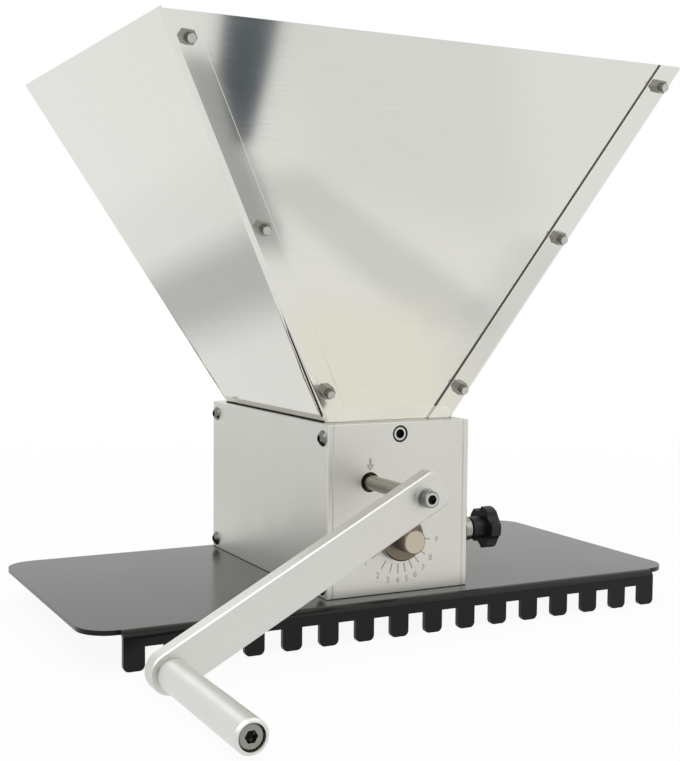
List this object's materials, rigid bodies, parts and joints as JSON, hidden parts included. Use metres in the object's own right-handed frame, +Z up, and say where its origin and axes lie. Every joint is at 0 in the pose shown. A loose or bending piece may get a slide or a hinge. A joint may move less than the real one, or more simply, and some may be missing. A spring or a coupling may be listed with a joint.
{
  "type": "hand-cranked malt mill",
  "caption": "Hand-cranked malt mill: folded sheet hopper on a box of fluted rollers, with a gap dial, a star lock knob and a toothed base plate that hooks over a bucket.",
  "frame": {"origin": "on the underside of the base plate, below the middle of the mill box, where the middle of the bucket comes", "axes": "+X along the base plate to the right as seen from the crank, +Y away from the crank, +Z up"},
  "size_m": [0.43, 0.4285, 0.3688],
  "materials": {
    "black_steel": "gloss black powder coat",
    "black_screw": "black oxide",
    "plate_aluminium": "satin",
    "bright_screw": "zinc plated",
    "shaft_steel": "ground",
    "roller_steel": "fluted, hardened",
    "bronze": "sintered",
    "dial_aluminium": "champagne anodised",
    "black_plastic": "satin",
    "crank_aluminium": "satin",
    "grip_aluminium": "turned, satin",
    "hopper_sheet": "satin stainless sheet"
  },
  "bodies": {
    "mill": {"base_plate": "black_steel", "base_screws": "black_screw", "front_end_plate": "plate_aluminium", "rear_end_plate": "plate_aluminium", "left_side_plate": "plate_aluminium", "right_side_plate": "plate_aluminium", "side_plate_screws": "bright_screw", "drive_front_bush": "bronze", "drive_rear_bush": "bronze", "idler_front_bush": "bronze", "idler_rear_bush": "bronze", "lock_collar": "bright_screw", "hopper_front_panel": "hopper_sheet", "hopper_rear_panel": "hopper_sheet", "hopper_left_panel": "hopper_sheet", "hopper_right_panel": "hopper_sheet", "hopper_corner_bolts": "bright_screw", "hopper_corner_nuts": "bright_screw", "hopper_fixing_screws": "bright_screw", "hopper_fixing_nuts": "bright_screw"},
    "crank": {"drive_shaft": "shaft_steel", "drive_roller": "roller_steel", "crank_arm": "crank_aluminium", "crank_washer": "bright_screw", "crank_screw": "bright_screw", "grip_bolt": "bright_screw", "grip_washer": "bright_screw"},
    "grip": {"grip": "grip_aluminium"},
    "idler": {"idler_shaft": "shaft_steel", "idler_roller": "roller_steel"},
    "eccentric": {"eccentric_axle": "shaft_steel", "gap_dial": "dial_aluminium", "dial_grub_screw": "black_screw"},
    "lower_roller": {"lower_roller": "roller_steel", "lower_front_bush": "bronze", "lower_rear_bush": "bronze"},
    "lock": {"lock_knob": "black_plastic", "lock_stud": "bright_screw"}
  },
  "joints": [
    {"name": "crank_turn", "type": "hinge", "parent": "mill", "child": "crank", "pos_m": [-0.02175, 0, 0.07641], "axis": [0, -1, 0], "continuous": true},
    {"name": "grip_spin", "type": "hinge", "parent": "crank", "child": "grip", "pos_m": [-0.17922, -0.22, -0.0087], "axis": [0, -1, 0], "continuous": true},
    {"name": "idler_spin", "type": "hinge", "parent": "mill", "child": "idler", "pos_m": [0.02175, 0, 0.07641], "axis": [0, -1, 0], "continuous": true},
    {"name": "gap_dial_turn", "type": "hinge", "parent": "mill", "child": "eccentric", "pos_m": [0, 0, 0.03955], "axis": [0, -1, 0], "range_deg": [-170, 0]},
    {"name": "lower_roller_spin", "type": "hinge", "parent": "eccentric", "child": "lower_roller", "pos_m": [0.00059, 0, 0.03887], "axis": [0, -1, 0], "continuous": true},
    {"name": "lock_knob_turn", "type": "hinge", "parent": "mill", "child": "lock", "pos_m": [0.065, -0.0895, 0.03955], "axis": [1, 0, 0], "range_deg": [0, 360]}
  ],
  "couplings": [
    {"joint": "idler_spin", "follows": "crank_turn", "ratio": -1},
    {"joint": "lower_roller_spin", "follows": "crank_turn", "ratio": -1}
  ]
}
